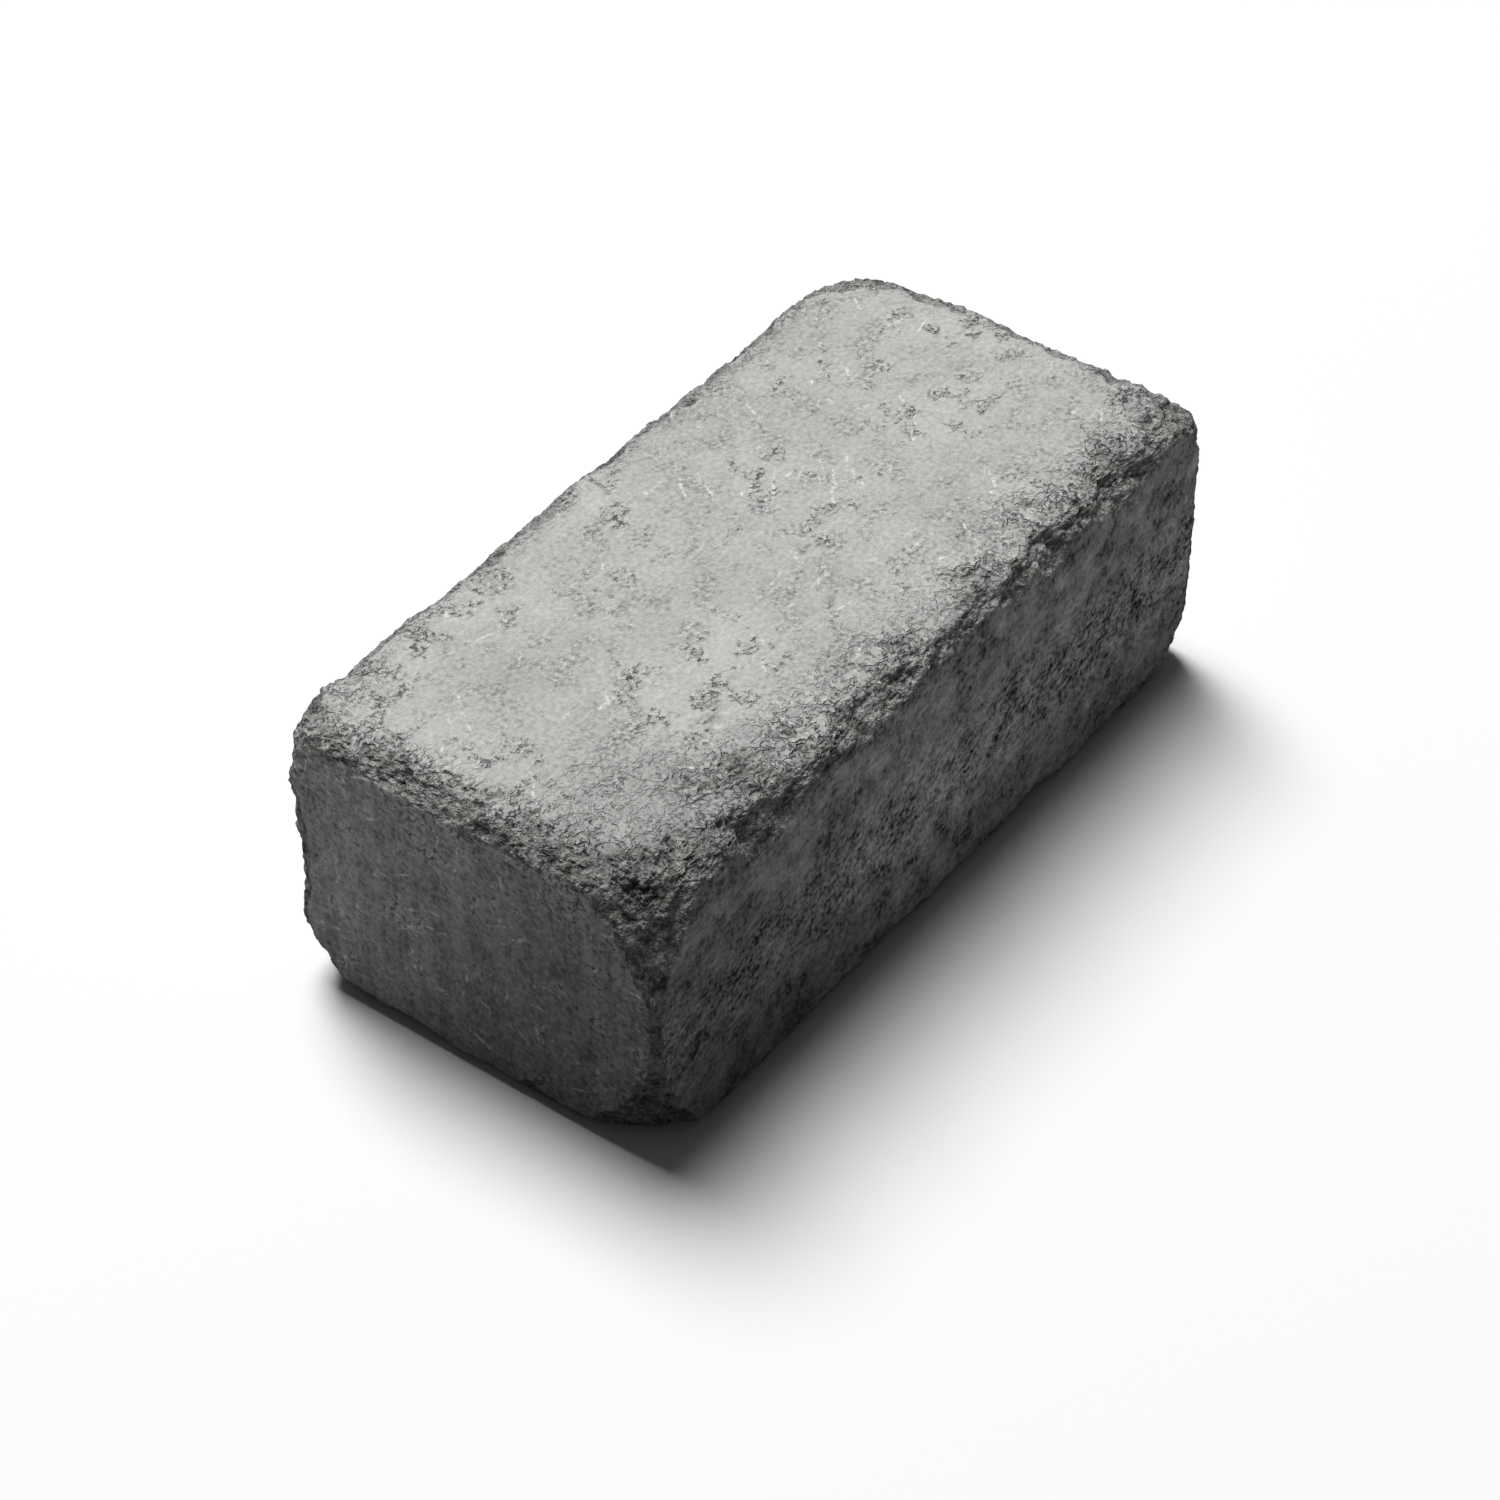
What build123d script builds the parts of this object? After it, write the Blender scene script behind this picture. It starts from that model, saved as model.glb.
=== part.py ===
"""Tumbled concrete wall block: one cast piece with broken arrises, knocked corners and chips.

Millimetres. +X runs along the block and +Z is up. The origin is the middle of the bed face
that the block lies on. The end at -X and the long face at -Y are the ones on show.
"""

import os
from itertools import product
from random import Random

from build123d import *

X, Y, Z = range(3)

# Block as cast, before it was tumbled
LENGTH = 300.0
WIDTH = 145.0
HEIGHT = 110.0

# Broken arrises: mean width of the broken band, measured on each of the two faces it joins
TOP_BAND = 6.5
UPRIGHT_BAND = 5.0
BED_BAND = 5.5
# Wear of single arrises against that mean, at their low and at their high end, by the axis that
# an arris runs along and its side on each of the other two
WEAR = {
    (X, -1, 1): (1.4, 1.1),
    (X, 1, 1): (0.75, 0.75),
    (Y, 1, 1): (1.1, 1.1),
    (Z, -1, -1): (0.6, 0.6),
    (Z, -1, 1): (1.2, 1.2),
    (Z, 1, -1): (0.5, 0.5),
}
EVEN_WEAR = (1.0, 1.0)
# Least and most width of a band at one place, as shares of its mean
BAND_LEAST = 0.3
BAND_MOST = 1.8
# Share of its width that a band keeps from one break to the next
BAND_HOLD = 0.45
# A band breaks in three flats: where the outer two end, as a share of the width on their own face,
# and how far they stand in from that face by then, as shares of the width on the other face
SHOULDER = 0.55
CREST_LEAST = 0.08
CREST_MOST = 0.34
# Distance along an arris from one change of its band to the next
BREAK_PITCH = 7.5
# How far a cutting tool reaches past the cast faces
TOOL_REACH = 12.0
TUMBLING_SEED = 7

# Chips out of the show arrises: place along the arris as a share of it, length along it, and
# width on each of the two faces that meet there
CHIPS = {
    (X, -1, 1): (
        (0.182, 24.0, 9.0, 16.5),
        (0.38, 22.0, 10.0, 9.0),
        (0.64, 13.0, 6.0, 15.0),
        (0.7, 13.0, 9.0, 12.0),
        (0.84, 18.0, 11.0, 11.0),
    ),
    (Y, -1, 1): ((0.62, 20.0, 8.0, 8.0),),
}
# A chip is scooped out, so its flats stand in further than those of a plain band
CHIP_CREST = 0.45

# Knocked corners: what each blow broke off along X, Y and Z, by the corner's side on each axis
CORNER_BLOWS = {
    (-1, -1, 1): ((30.0, 27.0, 40.0), (48.0, 40.0, 11.0)),
    (-1, 1, 1): ((14.0, 12.0, 30.0), (22.0, 15.0, 8.0)),
    (1, 1, 1): ((23.0, 19.0, 22.0), (36.0, 32.0, 7.5)),
    (1, -1, 1): ((14.0, 11.0, 20.0), (36.0, 22.0, 10.0)),
    (-1, -1, -1): ((20.0, 27.0, 46.0), (32.0, 34.0, 13.0)),
    (-1, 1, -1): ((18.0, 16.0, 29.0), (29.0, 24.0, 12.0)),
    (1, 1, -1): ((16.0, 15.0, 24.0), (26.0, 24.0, 9.0)),
    (1, -1, -1): ((16.0, 12.0, 28.0), (28.0, 20.0, 10.0)),
}
# A blow breaks off in three facets: the legs of each along X, Y and Z, against those of the blow
BLOW_FACETS = ((0.9, 1.15, 0.88), (1.15, 0.9, 0.88), (0.88, 0.88, 1.15))

HALF = (LENGTH / 2, WIDTH / 2, HEIGHT / 2)
AXES = (Vector(1, 0, 0), Vector(0, 1, 0), Vector(0, 0, 1))
CENTRE = AXES[Z] * HALF[Z]


def knock_off_corners(block: Part) -> Part:
    """Split off what each blow broke away, along the planes of its facets across the corner."""
    for sides, blows in CORNER_BLOWS.items():
        corner = CENTRE
        for axis, side, half in zip(AXES, sides, HALF):
            corner += axis * side * half
        for blow, facet in product(blows, BLOW_FACETS):
            legs = [leg * share for leg, share in zip(blow, facet)]
            outward = Vector(*(side / leg for side, leg in zip(sides, legs)))
            break_plane = Plane(corner - AXES[X] * sides[X] * legs[X], z_dir=outward)
            block = split(block, bisect_by=break_plane, keep=Keep.BOTTOM)
    return block


def mean_band(along: int, upper_side: int) -> float:
    """Mean width of the band on an arris that runs along one axis, on the upper or lower side."""
    if along == Z:
        return UPRIGHT_BAND
    return TOP_BAND if upper_side > 0 else BED_BAND


def band_section(plane: Plane, widths: list, crests: list) -> Sketch:
    """Section of the tool that breaks an arris, in a plane whose +X and +Y run into the block."""
    on_u, on_v = widths
    flat_u = (on_u * SHOULDER, on_v * crests[0])
    flat_v = (on_u * crests[1], on_v * SHOULDER)
    # Each outer flat runs on past its cast face by its own length again.
    outline = (
        (2 * on_u - flat_u[0], -flat_u[1]),
        flat_u,
        flat_v,
        (-flat_v[0], 2 * on_v - flat_v[1]),
        (-TOOL_REACH, -TOOL_REACH),
    )
    return plane * Polygon(*outline, align=None)


def arris_tool(along: int, side_u: int, side_v: int, tumbling: Random) -> Part:
    """Tool that breaks one arris: a ruled loft through sections of wandering width."""
    axis_u, axis_v = (axis for axis in range(3) if axis != along)
    inward_u = AXES[axis_u] * -side_u
    inward_v = AXES[axis_v] * -side_v
    arris = CENTRE - inward_u * HALF[axis_u] - inward_v * HALF[axis_v]
    middle = Plane(arris, x_dir=inward_u, z_dir=inward_u.cross(inward_v))
    # The sections follow on along the plane's own normal, which may run against the axis.
    forward = middle.z_dir.dot(AXES[along])
    wear_low, wear_high = WEAR.get((along, side_u, side_v), EVEN_WEAR)
    reach = HALF[along] + TOOL_REACH
    breaks = round(2 * reach / BREAK_PITCH)
    held = [1.0, 1.0]
    sections = []
    for n in range(breaks + 1):
        offset = (2 * n / breaks - 1) * reach
        share = (1 + forward * offset / HALF[along]) / 2
        band = mean_band(along, side_v) * (wear_low + (wear_high - wear_low) * share)
        fresh = [tumbling.uniform(BAND_LEAST, BAND_MOST) for _ in range(2)]
        held = [BAND_HOLD * old + (1 - BAND_HOLD) * new for old, new in zip(held, fresh)]
        widths = [band * wander for wander in held]
        crests = [tumbling.uniform(CREST_LEAST, CREST_MOST) for _ in range(2)]
        for place, length, chip_u, chip_v in CHIPS.get((along, side_u, side_v), ()):
            if abs(share - place) * 2 * HALF[along] <= max(length, BREAK_PITCH) / 2:
                widths = [chip_u, chip_v]
                crests = [CHIP_CREST] * 2
        sections.append(band_section(middle.offset(offset), widths, crests))
    return loft(sections, ruled=True)


def break_arrises(block: Part) -> Part:
    """Cut the worn band along all twelve arrises."""
    tumbling = Random(TUMBLING_SEED)
    for along in (X, Y, Z):
        for side_u in (-1, 1):
            for side_v in (-1, 1):
                block -= arris_tool(along, side_u, side_v, tumbling)
    return block


block_as_cast = Pos(*CENTRE) * Box(LENGTH, WIDTH, HEIGHT)
wall_block = break_arrises(knock_off_corners(block_as_cast))

os.makedirs("parts", exist_ok=True)
export_step(wall_block, "parts/wall_block.step")
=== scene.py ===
"""Dressed scene of a tumbled concrete wall block: skin, concrete, floor, light and camera.

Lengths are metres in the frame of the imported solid: +X along the block, +Z up, the floor at z = 0.
"""

import logging
import math
from dataclasses import dataclass
from enum import Enum

import bmesh
import bpy
from mathutils import Matrix, Vector, noise
from mathutils.bvhtree import BVHTree


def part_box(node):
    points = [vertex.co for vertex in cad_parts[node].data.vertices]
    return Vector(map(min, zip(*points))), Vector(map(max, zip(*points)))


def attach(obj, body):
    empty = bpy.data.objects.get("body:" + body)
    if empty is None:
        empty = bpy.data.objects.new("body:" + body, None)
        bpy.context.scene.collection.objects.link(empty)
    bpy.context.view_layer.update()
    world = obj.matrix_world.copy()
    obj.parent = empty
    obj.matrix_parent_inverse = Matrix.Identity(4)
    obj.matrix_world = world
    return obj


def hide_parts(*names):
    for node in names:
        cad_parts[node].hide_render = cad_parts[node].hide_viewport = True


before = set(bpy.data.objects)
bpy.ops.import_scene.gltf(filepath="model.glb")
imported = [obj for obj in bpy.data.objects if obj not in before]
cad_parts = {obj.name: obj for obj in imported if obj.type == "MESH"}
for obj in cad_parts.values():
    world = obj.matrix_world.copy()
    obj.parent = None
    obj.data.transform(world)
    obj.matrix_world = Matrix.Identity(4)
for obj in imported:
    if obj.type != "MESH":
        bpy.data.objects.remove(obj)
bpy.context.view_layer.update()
MM = 0.001
TINY = 1e-9

log = logging.getLogger("wall_block")


def smooth_step(start: float, end: float, value: float) -> float:
    """Rise smoothly from 0 to 1.

    Args:
        start: value at which the rise begins.
        end: value at which it is over.
        value: where to read it.

    Returns:
        The height of the rise at value.
    """
    share = min(max((value - start) / (end - start), 0.0), 1.0)
    return share * share * (3.0 - 2.0 * share)


class Signal:
    """A number on its way through a node tree. Arithmetic on it adds Math nodes."""

    def __init__(self, bench: "Bench", socket: bpy.types.NodeSocket) -> None:
        """Wrap a socket.

        Args:
            bench: the node tree's bench.
            socket: the output that carries the number.
        """
        self.bench = bench
        self.socket = socket

    def _math(self, operation: str, *terms: "Signal | float") -> "Signal":
        """Add one Math node.

        Args:
            operation: the node's operation.
            terms: its inputs in order.

        Returns:
            The node's result.
        """
        sockets = dict(enumerate(terms))
        return self.bench.signal("ShaderNodeMath", {"operation": operation}, sockets)

    def __add__(self, other: "Signal | float") -> "Signal":
        """Sum."""
        return self._math("ADD", self, other)

    def __radd__(self, other: float) -> "Signal":
        """Sum with a number on the left."""
        return self._math("ADD", other, self)

    def __sub__(self, other: "Signal | float") -> "Signal":
        """Difference."""
        return self._math("SUBTRACT", self, other)

    def __rsub__(self, other: float) -> "Signal":
        """Difference from a number on the left."""
        return self._math("SUBTRACT", other, self)

    def __mul__(self, other: "Signal | float") -> "Signal":
        """Product."""
        return self._math("MULTIPLY", self, other)

    def __rmul__(self, other: float) -> "Signal":
        """Product with a number on the left."""
        return self._math("MULTIPLY", other, self)

    def larger(self, other: "Signal | float") -> "Signal":
        """The larger of the two."""
        return self._math("MAXIMUM", self, other)

    def smaller(self, other: "Signal | float") -> "Signal":
        """The smaller of the two."""
        return self._math("MINIMUM", self, other)

    def rise(self, start: float, end: float) -> "Signal":
        """Rise smoothly from 0 where the number is start to 1 where it is end.

        Args:
            start: the number at which the rise begins.
            end: the number at which it is over.

        Returns:
            The height of the rise.
        """
        sockets = {"Value": self, "From Min": start, "From Max": end}
        settings = {"interpolation_type": "SMOOTHSTEP"}
        return self.bench.signal("ShaderNodeMapRange", settings, sockets)

    def stairs(self, starts: tuple, edge: float) -> "Signal":
        """Rise from 0 to 1 in equal steps.

        Args:
            starts: the number at which each step begins.
            edge: how far the number moves over a step.

        Returns:
            The height of the stairs.
        """
        steps = [self.rise(start, start + edge) for start in starts]
        return sum(steps[1:], steps[0]) * (1 / len(steps))


class Bench:
    """One node tree, with one way to add a node to it."""

    def __init__(self, tree: bpy.types.NodeTree) -> None:
        """Clear a tree.

        Args:
            tree: node tree of a material or a world.
        """
        self.tree = tree
        self.tree.nodes.clear()

    def node(self, kind: str, settings: dict, sockets: dict) -> bpy.types.Node:
        """Add a node.

        Args:
            kind: the node's type.
            settings: its properties, set first.
            sockets: a value, a Signal or an output for each named or numbered input.

        Returns:
            The node.
        """
        made = self.tree.nodes.new(kind)
        for name, value in settings.items():
            setattr(made, name, value)
        for name, value in sockets.items():
            source = value.socket if isinstance(value, Signal) else value
            if isinstance(source, bpy.types.NodeSocket):
                self.tree.links.new(source, made.inputs[name])
            else:
                made.inputs[name].default_value = source
        return made

    def signal(self, kind: str, settings: dict, sockets: dict, output: int | str = 0) -> Signal:
        """Add a node and take one number from it.

        Args:
            kind: the node's type.
            settings: its properties.
            sockets: its inputs.
            output: name or number of the output.

        Returns:
            The output's number.
        """
        return Signal(self, self.node(kind, settings, sockets).outputs[output])

    def place(self) -> bpy.types.NodeSocket:
        """Place on the piece, in metres."""
        return self.node("ShaderNodeTexCoord", {}, {}).outputs["Object"]

    def turned(self, place: bpy.types.NodeSocket, angles: tuple, stretch: tuple) -> bpy.types.NodeSocket:
        """Turn and stretch a pattern's place.

        Args:
            place: the place to start from.
            angles: turn about X, Y and Z in degrees.
            stretch: what each axis is multiplied by after the turn.

        Returns:
            The new place.
        """
        turn = self.node("ShaderNodeMapping", {}, {0: place, "Rotation": [math.radians(a) for a in angles]})
        return self.node("ShaderNodeMapping", {}, {0: turn.outputs[0], "Scale": stretch}).outputs[0]

    def mark(self, name: str) -> Signal:
        """Number that the mesh carries under a name."""
        return self.signal("ShaderNodeAttribute", {"attribute_name": name}, {}, "Fac")


@dataclass(frozen=True)
class Swell:
    """Soft noise about zero: distance from swell to swell, number of finer layers, strength of each."""

    pitch: float
    layers: float
    strength: float = 0.5

    def read(self, bench: Bench, place: bpy.types.NodeSocket) -> Signal:
        """Read the noise.

        Args:
            bench: the material's bench.
            place: where it is read.

        Returns:
            The noise, from -0.5 to 0.5.
        """
        sockets = {
            "Vector": place, "Scale": 1 / self.pitch, "Detail": self.layers, "Roughness": self.strength
        }
        return bench.signal("ShaderNodeTexNoise", {}, sockets) - 0.5


class Side(Enum):
    """Kinds of cast face, by the axis that each is square to."""

    END = 0
    LONG = 1
    BED = 2


@dataclass(frozen=True)
class BrokenGrain:
    """Relief of broken concrete: lumps that broke in steps, crumbs of odd depths, cracks and pebbles."""

    lump_pitch: float = 9.0 * MM
    lump_depth: float = 0.8 * MM
    lump_layers: int = 4
    lump_fade: float = 0.8
    lump_shrink: float = 2.0
    step_height: float = 0.7 * MM
    step_span: tuple = (0.25, 0.75)
    crumb_pitch: float = 3.2 * MM
    crumb_bend: float = 1.4 * MM
    crumb_depth: float = 0.3 * MM
    crack_width: float = 0.3
    crack_depth: float = 0.4 * MM
    pebble_pitch: float = 8.0 * MM
    pebble_radius: float = 0.36
    pebble_height: float = 0.5 * MM
    pebble_rim: float = 0.4
    pebble_calm: float = 0.8
    bare_share: float = 0.45
    mean_depth: float = 0.3 * MM

    def pebble(self, spot: Vector) -> float:
        """How far a place lies up a pebble.

        Args:
            spot: place on the mean broken surface.

        Returns:
            0 beside pebbles, 1 on the top of one.
        """
        distances, centres = noise.voronoi(spot / self.pebble_pitch)
        if noise.cell(centres[0]) < self.bare_share:
            return 0.0
        return max(1.0 - (distances[0] / self.pebble_radius) ** 2, 0.0)

    def depth(self, spot: Vector) -> float:
        """Depth of the relief below the mean broken surface.

        Args:
            spot: place on that surface.

        Returns:
            The depth, below zero where a lump stands out.
        """
        lump = noise.fractal(spot / self.lump_pitch, self.lump_fade, self.lump_shrink, self.lump_layers)
        bent = spot + noise.noise_vector(spot / self.crumb_pitch) * self.crumb_bend
        distances, centres = noise.voronoi(bent / self.crumb_pitch)
        crumb = self.crumb_depth * noise.cell(centres[0])
        crack = self.crack_depth * (1.0 - smooth_step(0.0, self.crack_width, distances[1] - distances[0]))
        pebble = self.pebble(spot)
        calm = 1.0 - self.pebble_calm * smooth_step(0.0, self.pebble_rim, pebble)
        rise = lump * self.lump_depth / self.step_height
        steps = math.floor(rise) + smooth_step(*self.step_span, rise - math.floor(rise))
        rubble = crumb + crack - self.step_height * steps - self.mean_depth
        return calm * rubble - self.pebble_height * pebble


@dataclass(frozen=True)
class CastSkin:
    """Relief of a cast face: slow waves, clusters of pores and a few deeper holes."""

    wave_pitch: float = 55.0 * MM
    wave_depth: float = 0.3 * MM
    pore_pitch: float = 4.2 * MM
    pore_layers: int = 2
    pore_fade: float = 0.8
    pore_shrink: float = 2.2
    pore_level: float = 0.8
    pore_edge: float = 0.4
    pore_depth: float = 0.8 * MM
    cluster_pitch: float = 18.0 * MM
    cluster_swing: float = 0.4
    end_pores: float = -0.1
    long_pores: float = 0.1
    bed_pores: float = 0.05
    worn_pores: float = 0.45
    hole_span: tuple = (0.35, 1.0)
    hole_ragged: float = 0.25
    hole_grain: float = 2.0 * MM
    # Each hole: place in the block's frame, radius, depth
    holes: tuple = (
        ((-71.0 * MM, -36.0 * MM, 110.0 * MM), 4.0 * MM, 2.4 * MM),
        ((-66.0 * MM, -35.0 * MM, 110.0 * MM), 2.6 * MM, 1.2 * MM),
        ((-118.0 * MM, -56.0 * MM, 110.0 * MM), 3.4 * MM, 1.2 * MM),
    )

    def pore(self, spot: Vector, side: Side, worn: float) -> float:
        """How deep a place lies in a pore.

        Args:
            spot: place on the face.
            side: kind of face.
            worn: nearness to a broken arris, from 0 to 1.

        Returns:
            0 on the skin, 1 at the bottom of a pore.
        """
        share = (self.end_pores, self.long_pores, self.bed_pores)[side.value]
        cluster = self.cluster_swing * noise.noise(spot / self.cluster_pitch)
        crowd = share + self.worn_pores * worn + cluster
        swell = noise.fractal(spot / self.pore_pitch, self.pore_fade, self.pore_shrink, self.pore_layers)
        return smooth_step(0.0, self.pore_edge, swell - (self.pore_level - crowd))

    def depth(self, spot: Vector, pore: float) -> float:
        """Depth of the relief below the block as cast.

        Args:
            spot: place on the face.
            pore: how deep it lies in a pore.

        Returns:
            The depth.
        """
        wave = 0.5 + 0.5 * noise.noise(spot / self.wave_pitch)
        depth = self.wave_depth * wave + self.pore_depth * pore
        for middle, radius, hole_depth in self.holes:
            away = (spot - Vector(middle)).length / radius
            away += self.hole_ragged * noise.noise(spot / self.hole_grain)
            depth += hole_depth * (1.0 - smooth_step(*self.hole_span, away))
        return depth


@dataclass(frozen=True)
class Coat:
    """Look of one kind of surface in a node tree: how light it is, and its relief in millimetres."""

    tone: Signal
    height: Signal


@dataclass(frozen=True)
class Pattern:
    """Noises that the coats share, the steps of ledges and flakes, the edges of pits and scratches."""

    grit: Swell = Swell(1.8 * MM, 3.0, 0.7)
    crumbs: Swell = Swell(4.5 * MM, 4.0, 0.65)
    mottle: Swell = Swell(11.0 * MM, 4.0, 0.6)
    drift: Swell = Swell(38.0 * MM, 1.0)
    ledges: Swell = Swell(7.5 * MM, 3.5, 0.55)
    ledge_starts: tuple = (-0.13, -0.05, 0.03, 0.11)
    ledge_edge: float = 0.02
    flakes: Swell = Swell(8.0 * MM, 4.0, 0.6)
    flake_starts: tuple = (-0.09, 0.02)
    flake_edge: float = 0.06
    bend_pitch: float = 14.0 * MM
    bend_reach: float = 8.0 * MM
    pit_crumbs: float = 0.8
    pit_span: tuple = (0.08, 0.17)
    scratch_span: tuple = (0.1, 0.4)
    scratch_lot_edge: float = 0.001
    scratch_grit_span: tuple = (-0.1, 0.06)


@dataclass(frozen=True)
class Grounds:
    """What all the coats of the concrete read."""

    pattern: Pattern
    bench: Bench
    place: bpy.types.NodeSocket
    bent: bpy.types.NodeSocket
    worn: Signal
    grit: Signal
    crumbs: Signal
    mottle: Signal
    drift: Signal
    ledges: Signal
    flakes: Signal

    @classmethod
    def lay(cls, pattern: Pattern, bench: Bench) -> "Grounds":
        """Lay the noises that the coats share.

        Args:
            pattern: their sizes.
            bench: the material's bench.

        Returns:
            The grounds.
        """
        place = bench.place()
        swirl_sockets = {"Vector": place, "Scale": 1 / pattern.bend_pitch, "Detail": 0.0}
        swirl = bench.node("ShaderNodeTexNoise", {}, swirl_sockets)
        bend = {0: swirl.outputs["Color"], 1: [pattern.bend_reach] * 3, 2: place}
        return cls(
            pattern,
            bench,
            place,
            bent=bench.node("ShaderNodeVectorMath", {"operation": "MULTIPLY_ADD"}, bend).outputs[0],
            worn=bench.mark("worn"),
            grit=pattern.grit.read(bench, place),
            crumbs=pattern.crumbs.read(bench, place),
            mottle=pattern.mottle.read(bench, place),
            drift=pattern.drift.read(bench, place),
            ledges=pattern.ledges.read(bench, place).stairs(pattern.ledge_starts, pattern.ledge_edge),
            flakes=pattern.flakes.read(bench, place).stairs(pattern.flake_starts, pattern.flake_edge),
        )

    def specks(self, crowd: "Signal | float") -> Signal:
        """Small ragged pits.

        Args:
            crowd: how thick they lie, from 0 to 1.

        Returns:
            1 in a pit, 0 beside it.
        """
        return (self.crumbs * self.pattern.pit_crumbs - self.grit).rise(*self.pattern.pit_span) * crowd

    def scratches(self, turns: list, length: float, width: float, share: float) -> Signal:
        """Thin scratches, a little bent.

        Args:
            turns: for each way that they run, the turn in degrees that lays it along X.
            length: distance from one to the next along them.
            width: distance from one to the next across them.
            share: share of the places where there is one.

        Returns:
            1 on a scratch, 0 beside it.
        """
        marks = None
        sure_lot = 1.0 - share
        for angles in turns:
            cell_place = self.bench.turned(self.bent, angles, (1 / length, 1 / width, 1 / width))
            cells = self.bench.node("ShaderNodeTexVoronoi", {}, {"Vector": cell_place, "Scale": 1.0})
            near = 1.0 - Signal(self.bench, cells.outputs["Distance"]).rise(*self.pattern.scratch_span)
            lot = self.bench.signal("ShaderNodeSeparateColor", {}, {0: cells.outputs["Color"]})
            layer = near * lot.rise(sure_lot - self.pattern.scratch_lot_edge, sure_lot)
            marks = layer if marks is None else marks.larger(layer)
        return marks * self.grit.rise(*self.pattern.scratch_grit_span)


@dataclass(frozen=True)
class BedCoat:
    """Bed face: pale and finely speckled, with clusters of ragged pits, scratched towards the arrises."""

    tone: float = 0.495
    drift_swing: float = 0.2
    mottle_swing: float = 0.22
    crumb_tone_and_shade: float = 0.16
    crumb_height: float = 1.2
    grit_tone_and_shade: float = 1.4
    grit_height: float = 1.1
    smooth_grit: float = 0.38
    patch_grit: float = 0.5
    patch_span: tuple = (-0.02, 0.1)
    worn_grit: float = 0.15
    crowd_span: tuple = (0.02, 0.12)
    crowd_drift_span: tuple = (-0.02, 0.12)
    worn_pits: float = 0.5
    # Pits are painted darker: partly dirt, partly painted shade
    pit_dirt_and_shade: float = 0.12
    pit_height: float = 1.6
    # Darker where worn: wear, and painted shade in place of the shadows between its crumbs
    worn_tone_and_shade: float = 0.055
    flake_height: float = 4.2
    # Painted shade on the lower steps of the flakes
    flake_hollow_shade: float = 0.1
    crowd_flakes: float = 0.25
    most_flaked: float = 1.1
    scratch_turns: tuple = (-52, -35, 8)
    scratch_length: float = 42.0 * MM
    scratch_width: float = 2.2 * MM
    scratch_share: float = 0.05
    scratch_light: float = 0.26

    def coat(self, grounds: Grounds) -> Coat:
        """Lay the coat.

        Args:
            grounds: what it reads.

        Returns:
            The look.
        """
        patchy = grounds.mottle.rise(*self.patch_span)
        rough = self.smooth_grit + self.patch_grit * patchy + self.worn_grit * grounds.worn
        crowd = grounds.mottle.rise(*self.crowd_span) * grounds.drift.rise(*self.crowd_drift_span)
        pit = grounds.specks((crowd + self.worn_pits * grounds.worn).smaller(1.0))
        flaked = (grounds.worn + self.crowd_flakes * crowd).smaller(self.most_flaked)
        ways = [(0, 0, turn) for turn in self.scratch_turns]
        marks = grounds.scratches(ways, self.scratch_length, self.scratch_width, self.scratch_share)
        # Grit and crumbs are darker where their relief is low: grain tone and painted shade together
        tone = (
            self.tone
            + grounds.drift * self.drift_swing
            - grounds.mottle * self.mottle_swing
            + grounds.crumbs * rough * self.crumb_tone_and_shade
            + grounds.grit * rough * self.grit_tone_and_shade
            + marks * self.scratch_light
            - pit * self.pit_dirt_and_shade
            - grounds.worn * self.worn_tone_and_shade
            - (1.0 - grounds.flakes) * flaked * self.flake_hollow_shade
        )
        height = (
            grounds.grit * rough * self.grit_height
            + grounds.crumbs * rough * self.crumb_height
            + grounds.flakes * flaked * self.flake_height
            - pit * self.pit_height
        )
        return Coat(tone, height)


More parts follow.
